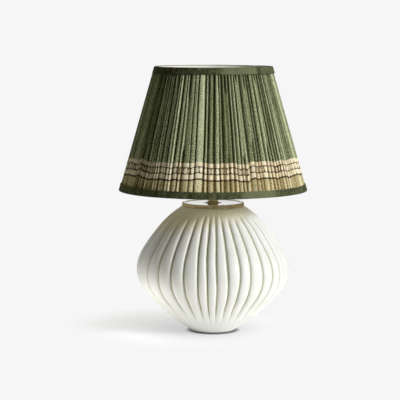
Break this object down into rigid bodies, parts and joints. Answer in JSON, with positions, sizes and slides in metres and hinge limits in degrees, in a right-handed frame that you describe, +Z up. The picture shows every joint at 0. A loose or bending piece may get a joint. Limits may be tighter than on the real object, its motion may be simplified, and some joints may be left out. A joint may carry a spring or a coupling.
{
  "type": "table lamp",
  "caption": "Table lamp with a bulbous carved stoneware base, a brass neck and switched lampholder, and a conical gathered cloth shade on a wire carrier.",
  "frame": {"origin": "centre of the felt foot, on the surface the lamp stands on", "axes": "+Z up along the lamp's axis; -Y towards the viewer of the picture, +Y to the cord inlet; +X to the viewer's right, along the switch bar"},
  "size_m": [0.35, 0.35, 0.494],
  "materials": {
    "stoneware": "white glaze over hand-carved stoneware, bare brown rim",
    "board": "hardboard",
    "felt": "dense felt",
    "soft_black": "soft moulded rubber",
    "zinc_steel": "zinc plated",
    "antique_brass": "antiqued, satin",
    "bright_brass": "plain drawn and turned",
    "porcelain": "glazed porcelain",
    "switch_brass": "antiqued, polished by use",
    "black_moulding": "moulded",
    "opal_glass": "opal, satin",
    "cap_metal": "pressed, plated",
    "black_glass": "vitrite",
    "solder": "dull solder",
    "white_steel": "powder coated",
    "lining_cloth": "plain woven lining",
    "shade_linen": "gathered woven linen, pale woven bands at the lower edge",
    "binding_linen": "folded linen strip"
  },
  "bodies": {
    "root": {"ceramic_body": "stoneware", "base_disc": "board", "foot_pad": "felt", "cord_grommet": "soft_black", "stem_tube": "zinc_steel", "lower_nut": "zinc_steel", "lower_washer": "zinc_steel", "lower_cushion": "soft_black", "seating_washer": "soft_black", "neck_collar": "antique_brass", "holder_cap": "antique_brass", "holder_skirt": "antique_brass", "lower_shade_ring": "antique_brass", "upper_shade_ring": "antique_brass", "holder_insulator": "porcelain", "screw_shell": "bright_brass", "terminal_blocks": "bright_brass", "terminal_screws": "bright_brass", "earth_terminal": "bright_brass"},
    "switch": {"switch_bar": "switch_brass", "switch_slider": "black_moulding"},
    "contact": {"centre_contact": "bright_brass"},
    "bulb": {"bulb_glass": "opal_glass", "bulb_cap": "cap_metal", "bulb_insulator": "black_glass", "bulb_tip": "solder"},
    "carrier": {"carrier_foot": "white_steel", "carrier_legs": "white_steel", "carrier_ring": "white_steel"},
    "shade": {"duplex_ring": "white_steel", "shade_arms": "white_steel", "top_ring": "white_steel", "bottom_ring": "white_steel", "side_struts": "white_steel", "shade_lining": "lining_cloth", "gathered_cover": "shade_linen", "top_binding": "binding_linen", "bottom_binding": "binding_linen"}
  },
  "joints": [
    {"name": "switch_push", "type": "slide", "parent": "root", "child": "switch", "axis": [1, 0, 0], "range_m": [0, 0.006]},
    {"name": "contact_rise", "type": "slide", "parent": "root", "child": "contact", "axis": [0, 0, 1], "range_m": [0, 0.00182]},
    {"name": "bulb_turn", "type": "hinge", "parent": "contact", "child": "bulb", "pos_m": [0, 0, 0.289], "axis": [0, 0, 1], "range_deg": [0, 180]},
    {"name": "carrier_turn", "type": "hinge", "parent": "root", "child": "carrier", "pos_m": [0, 0, 0.291], "axis": [0, 0, 1], "continuous": true},
    {"name": "shade_lift", "type": "slide", "parent": "carrier", "child": "shade", "axis": [0, 0, 1], "range_m": [0, 0.2]}
  ],
  "couplings": [
    {"joint": "contact_rise", "follows": "bulb_turn", "m_per_rad": 0.00057757}
  ]
}
